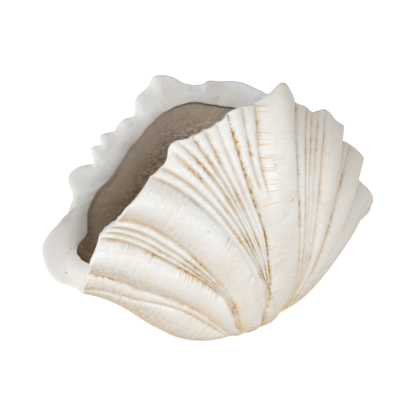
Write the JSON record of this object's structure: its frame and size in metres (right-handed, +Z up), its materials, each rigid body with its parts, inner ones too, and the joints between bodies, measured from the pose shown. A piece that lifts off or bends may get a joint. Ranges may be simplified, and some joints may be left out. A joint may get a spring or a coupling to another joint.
{
  "type": "shell planter",
  "caption": "Upright open planter shaped as a gaping fluted clam shell, with a scalloped lip, a deep cavity and a flat foot.",
  "frame": {"origin": "on the flat foot under the belly, where the shell meets the surface it stands on", "axes": "+Z up, +X along the long opening towards the end where the ribs crowd together, -Y towards the higher front valve"},
  "size_m": [0.3836, 0.1652, 0.2962],
  "materials": {
    "resin": "matte warm-white painted cast resin with ochre wash in the grooves"
  },
  "bodies": {
    "root": {"shell": "resin"}
  },
  "joints": []
}
